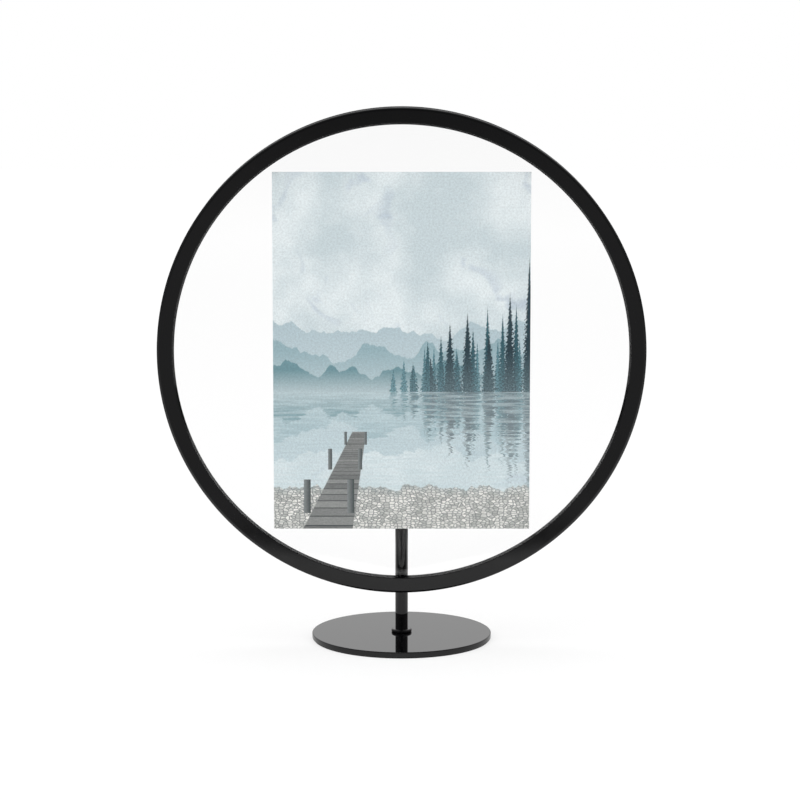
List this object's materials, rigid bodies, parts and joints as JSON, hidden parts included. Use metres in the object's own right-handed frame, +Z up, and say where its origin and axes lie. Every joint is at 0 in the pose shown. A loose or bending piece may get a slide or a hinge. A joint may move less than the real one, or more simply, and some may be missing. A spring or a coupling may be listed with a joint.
{
  "type": "round photo frame",
  "caption": "Round tabletop photo frame: a slim black ring holds clear panes that float a portrait print, and makes a quarter turn on a stem above a disc base.",
  "frame": {"origin": "centre of the base pad's underside, on the table, on the stem's axis", "axes": "+Z up along the stem, -Y the way the print faces, +X to the right seen from the front"},
  "size_m": [0.2412, 0.09, 0.2675],
  "materials": {
    "gloss_black_enamel": "gloss",
    "satin_black_enamel": "satin",
    "clear_glass": "clear polished",
    "photo_paper": "lustre photo paper",
    "foam_pad": "matte foam",
    "bonding_foam": "matte",
    "zinc_steel": "zinc plated",
    "black_oxide_steel": "black oxide",
    "nickel_plate": "nickel plated",
    "white_acetal": "moulded",
    "black_plastic": "fine satin"
  },
  "bodies": {
    "stand": {"base_pad": "foam_pad", "base_disc": "gloss_black_enamel", "base_screw": "zinc_steel", "stem_collar": "gloss_black_enamel", "stem_rod": "gloss_black_enamel", "hub_block": "satin_black_enamel", "stem_set_screw": "black_oxide_steel", "stop_pin": "zinc_steel", "friction_disc": "white_acetal", "wave_washer": "zinc_steel", "thrust_washer": "zinc_steel", "hub_cover": "black_plastic"},
    "frame": {"hub_plate": "satin_black_enamel", "hub_bond_pad": "bonding_foam", "pivot_screw": "black_oxide_steel", "rear_ring": "satin_black_enamel", "rear_glass_tape": "bonding_foam", "rear_glass": "clear_glass", "photo_print": "photo_paper"},
    "front": {"front_glass": "clear_glass", "front_gasket": "bonding_foam", "front_ring": "satin_black_enamel", "ring_magnets": "nickel_plate"}
  },
  "joints": [
    {"name": "frame_turn", "type": "hinge", "parent": "stand", "child": "frame", "pos_m": [0, -0.00507, 0.14685], "axis": [0, 1, 0], "range_deg": [0, 90]},
    {"name": "front_ring_pull", "type": "slide", "parent": "frame", "child": "front", "axis": [0, -1, 0], "range_m": [0, 0.03]}
  ]
}
